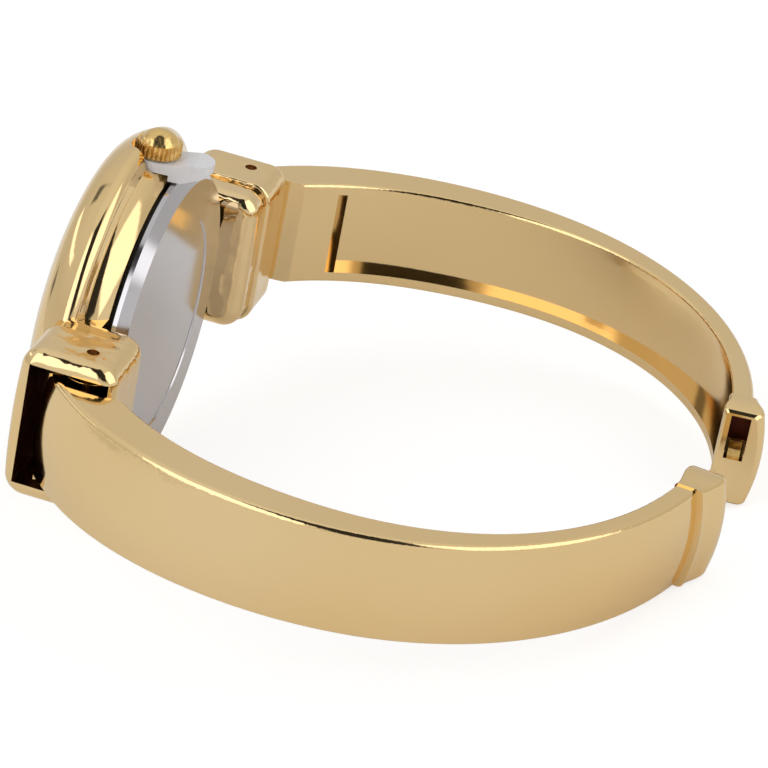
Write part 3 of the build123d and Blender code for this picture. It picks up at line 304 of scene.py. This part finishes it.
stop_plastic = moulded(
    "milky stop plastic", (0.8, 0.8, 0.83), roughness=0.3, grain_size=900.0, grain_height=0.2)
holder_plastic = moulded(
    "holder plastic", (0.8, 0.79, 0.75), roughness=0.5, grain_size=700.0, grain_height=0.3)
gasket_rubber = moulded(
    "black gasket rubber", (0.012, 0.012, 0.013), roughness=0.6, grain_size=1500.0, grain_height=0.4)
board_lacquer = moulded(
    "board lacquer", (0.03, 0.16, 0.07), roughness=0.3, grain_size=500.0, grain_height=0.2)
coil_lacquer = moulded(
    "coil lacquer", (0.5, 0.19, 0.07), roughness=0.3, grain_size=3000.0, grain_height=0.6)
dial_paint = moulded(
    "dial paint", (0.86, 0.84, 0.78), roughness=0.3, grain_size=2500.0, grain_height=0.15, Metallic=0.35)

finishes = {
    gold_arm: ["arm_12", "arm_6"],
    gold_case: ["bezel", "case_middle"],
    gold_hood: ["hood_12", "hood_6"],
    gold_crown: ["crown"],
    gold_small: ["hour_markers", "hour_hand", "minute_hand", "second_hand", "dial_ring", "clasp_tongue"],
    gold_leaf: ["clasp_catch"],
    back_steel: ["case_back"],
    hinge_pin: ["hinge_pin_12", "hinge_pin_6"],
    pin_steel: ["crown_tube", "stem", "sliding_pinion"],
    brass: ["mainplate", "train_bridge", "cannon_pinion", "hour_wheel", "minute_wheel", "setting_wheel",
            "centre_wheel", "third_wheel", "second_wheel", "intermediate_wheel"],
    bright_steel: ["rotor", "stator", "quartz_can", "battery", "battery_clamp"],
    gasket_rubber: ["crystal_gasket", "crown_gasket", "back_gasket"],
    stop_plastic: ["crown_stop"],
    holder_plastic: ["movement_holder"],
    board_lacquer: ["circuit_board"],
    coil_lacquer: ["coil"],
    dial_paint: ["dial"],
    clear_glass("crystal glass"): ["crystal"],
}
for finish, names in finishes.items():
    for name in names:
        for slot in nodes[name].material_slots:
            slot.material = finish


# Floor

WHITE = (1.0, 1.0, 1.0)
FLOOR_SIZE = 6.0
PAPER_GREY = 0.93
GLOW_SHARE = 0.6
GLOW_STRENGTH = 1.25


def pale_paper(name):
    """White paper that takes shadows, and glows a little for the camera alone, so that it stays white."""
    made, tree, shader = material(name)
    shader.inputs["Base Color"].default_value = (PAPER_GREY, PAPER_GREY, PAPER_GREY, 1)
    shader.inputs["Roughness"].default_value = 0.9
    shader.inputs["Specular IOR Level"].default_value = 0.0
    glow = node(tree, "ShaderNodeEmission", {"Color": opaque(WHITE), "Strength": GLOW_STRENGTH})
    seen = node(tree, "ShaderNodeLightPath").outputs["Is Camera Ray"]
    share = math_node(tree, "MULTIPLY", seen, GLOW_SHARE)
    blend = node(tree, "ShaderNodeMixShader", {"Fac": share, 1: shader.outputs["BSDF"], 2: glow.outputs[0]})
    tree.links.new(blend.outputs["Shader"], tree.nodes["Material Output"].inputs["Surface"])
    return made


bpy.ops.mesh.primitive_plane_add(size=FLOOR_SIZE, location=(0, 0, 0))
floor = bpy.context.object
floor.name = "floor"
floor.data.materials.append(pale_paper("pale floor"))


# Studio: a pale tent with three bright cards and three dark ones

SKY = [(0.0, (0.64, 0.63, 0.61)), (0.3, (0.6, 0.59, 0.57)), (1.0, (0.78, 0.78, 0.77))]
BRIGHT = 1.6
# Bearings, tilts and half sizes in degrees, and how bright each card is
CARDS = [
    dict(azimuth=-114, elevation=34, half_width=26, half_height=34, level=BRIGHT),
    dict(azimuth=-12, elevation=28, half_width=32, half_height=28, level=BRIGHT),
    dict(azimuth=-65, elevation=45, half_width=18, half_height=36, level=0.03, fade=0.1),
    dict(azimuth=170, elevation=28, half_width=20, half_height=2.5, level=BRIGHT, tilt=20),
    dict(azimuth=150, elevation=38, half_width=6, half_height=5, level=0.15, fade=0.5),
    dict(azimuth=165, elevation=7, half_width=6, half_height=4, level=0.2, fade=0.5),
]


def card_group():
    """Mask of a card seen in a direction. Across and Up are its sides' directions over its half sizes."""
    group, start, end = new_group(
        "card", {label: ("NodeSocketVector", (0, 0, 1)) for label in ("Direction", "Facing", "Across", "Up")}
        | {"Fade": ("NodeSocketFloat", 0.2)}, {"Mask": "NodeSocketFloat"})
    given = start.outputs
    facing, across, up = [
        node(group, "ShaderNodeVectorMath", {0: given["Direction"], 1: given[label]},
             operation="DOT_PRODUCT").outputs["Value"] for label in ("Facing", "Across", "Up")]
    barely_ahead = 0.05
    ahead = math_node(group, "GREATER_THAN", facing, barely_ahead)
    across = math_node(group, "ABSOLUTE", math_node(group, "DIVIDE", across, facing))
    up = math_node(group, "ABSOLUTE", math_node(group, "DIVIDE", up, facing))
    mask = faded_to_edge(group, math_node(group, "MAXIMUM", across, up), given["Fade"])
    group.links.new(math_node(group, "MULTIPLY", mask, ahead), end.inputs["Mask"])
    return group


def with_card(tree, group, direction, behind, azimuth, elevation, half_width, half_height, level,
              tilt=0, fade=0.2):
    """The studio's colour with a card laid over what is behind it."""
    a, e, t = math.radians(azimuth), math.radians(elevation), math.radians(tilt)
    facing = Vector((math.cos(e) * math.cos(a), math.cos(e) * math.sin(a), math.sin(e)))
    level_across = Vector((-math.sin(a), math.cos(a), 0))
    level_up = facing.cross(level_across)
    across = level_across * math.cos(t) + level_up * math.sin(t)
    up = level_up * math.cos(t) - level_across * math.sin(t)
    made = grouped(tree, group, {
        "Direction": direction, "Facing": facing, "Fade": fade,
        "Across": across / math.tan(math.radians(half_width)),
        "Up": up / math.tan(math.radians(half_height))})
    return mixed(tree, made.outputs["Mask"], behind, (level, level, level, 1))


def light_studio():
    """The world that lights and is mirrored in the watch, plain white where the camera sees it."""
    world = bpy.data.worlds.new("studio")
    bpy.context.scene.world = world
    world.use_nodes = True
    tree = world.node_tree
    direction = node(tree, "ShaderNodeTexCoord").outputs["Generated"]
    height = node(tree, "ShaderNodeSeparateXYZ", {0: direction}).outputs["Z"]
    sky = node(tree, "ShaderNodeValToRGB", {"Fac": height})
    stops = sky.color_ramp.elements
    stops.new(SKY[1][0])
    for stop, (place, color) in zip(stops, SKY):
        stop.position = place
        stop.color = opaque(color)
    studio = sky.outputs["Color"]
    group = card_group()
    for card in CARDS:
        studio = with_card(tree, group, direction, studio, **card)
    seen = node(tree, "ShaderNodeLightPath").outputs["Is Camera Ray"]
    background = tree.nodes["Background"]
    tree.links.new(mixed(tree, seen, studio, opaque(WHITE)), background.inputs["Color"])
    background.inputs["Strength"].default_value = 1.0


light_studio()


# Camera at the photograph's view, in the watch's own axes

EYE = (99.00, -385.91, 199.14)
RIGHT = (0.9438, 0.2805, 0.1716)
UP = (-0.2770, 0.3938, 0.8759)
BACK = (0.1784, -0.8742, 0.4498)
FOCAL_LENGTH_PIXELS = 5034.9
FRAME_PIXELS = 768
SENSOR_WIDTH = 36.0

camera_data = bpy.data.cameras.new("camera")
camera_data.sensor_width = SENSOR_WIDTH
camera_data.lens = FOCAL_LENGTH_PIXELS / FRAME_PIXELS * SENSOR_WIDTH
camera_data.clip_start = 0.01
camera = bpy.data.objects.new("camera", camera_data)
bpy.context.scene.collection.objects.link(camera)
camera_turn = Matrix((turned(RIGHT), turned(UP), turned(BACK))).transposed()
camera.matrix_world = Matrix.Translation(from_case(EYE)) @ camera_turn.to_4x4()
bpy.context.scene.camera = camera
bpy.context.scene.view_settings.view_transform = "Standard"
